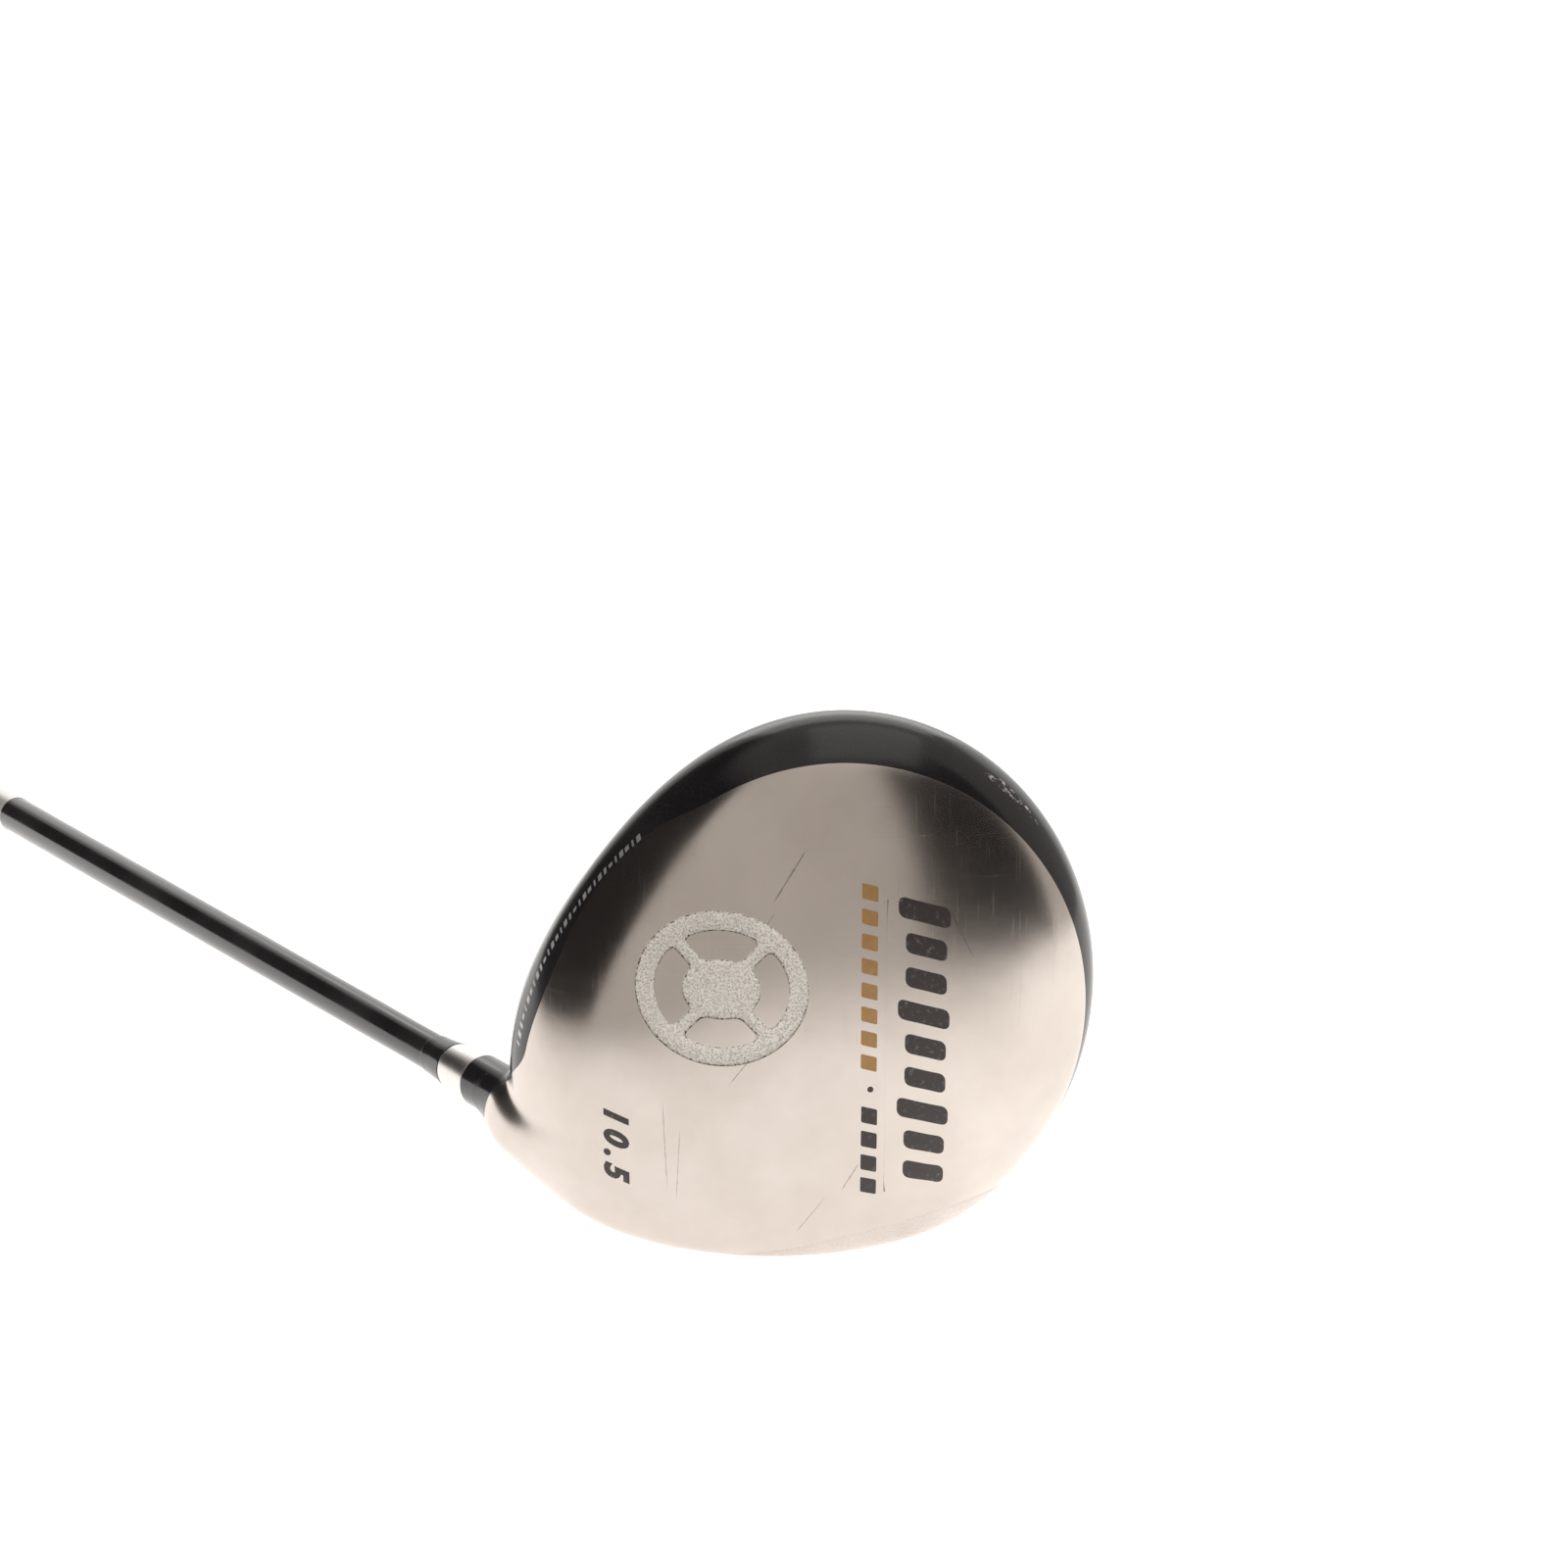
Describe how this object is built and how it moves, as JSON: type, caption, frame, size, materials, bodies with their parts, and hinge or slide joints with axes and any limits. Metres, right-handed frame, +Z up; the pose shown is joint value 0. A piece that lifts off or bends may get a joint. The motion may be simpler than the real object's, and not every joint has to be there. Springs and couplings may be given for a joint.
{
  "type": "golf driver",
  "caption": "Golf driver with a hollow metal head, polished sole, black skirt and crown, bonded hosel, tapered shaft and rubber grip, lying face down.",
  "frame": {"origin": "bottom centre of the whole club's bounding box, on the surface that it lies on", "axes": "+Z up; +X along the club from the grip to the head; +Y towards the toe's side. The club lies face down on its leading edge and its grip cap, so the shaft rises by about 0.7 degrees towards the head"},
  "size_m": [1.1826, 0.1202, 0.1181],
  "materials": {
    "polished_titanium": "polished titanium with fine handling scratches",
    "satin_titanium": "satin turned titanium",
    "brushed_face": "brushed titanium",
    "badge_enamel": "grainy cream enamel",
    "black_paint": "gloss black paint",
    "crown_lacquer": "gloss black lacquer over carbon fibre",
    "adhesive": "cured epoxy",
    "ferrule_plastic": "gloss black cellulose plastic",
    "shaft_lacquer": "gloss black lacquer over carbon fibre",
    "silver_decal": "silver white printed band under lacquer",
    "plug_brass": "plain",
    "grip_tape": "double sided tape",
    "grip_rubber": "matt moulded rubber"
  },
  "bodies": {
    "root": {"sole_shell": "polished_titanium", "sole_badge": "badge_enamel", "upper_frame": "black_paint", "face_insert": "brushed_face", "crown_shell": "crown_lacquer", "crown_bond": "adhesive", "hosel_tube": "satin_titanium", "hosel_epoxy": "adhesive", "ferrule": "ferrule_plastic", "shaft": "shaft_lacquer", "tip_plug": "plug_brass", "shaft_band": "silver_decal", "grip_tape": "grip_tape", "grip": "grip_rubber", "grip_cap": "grip_rubber"}
  },
  "joints": []
}
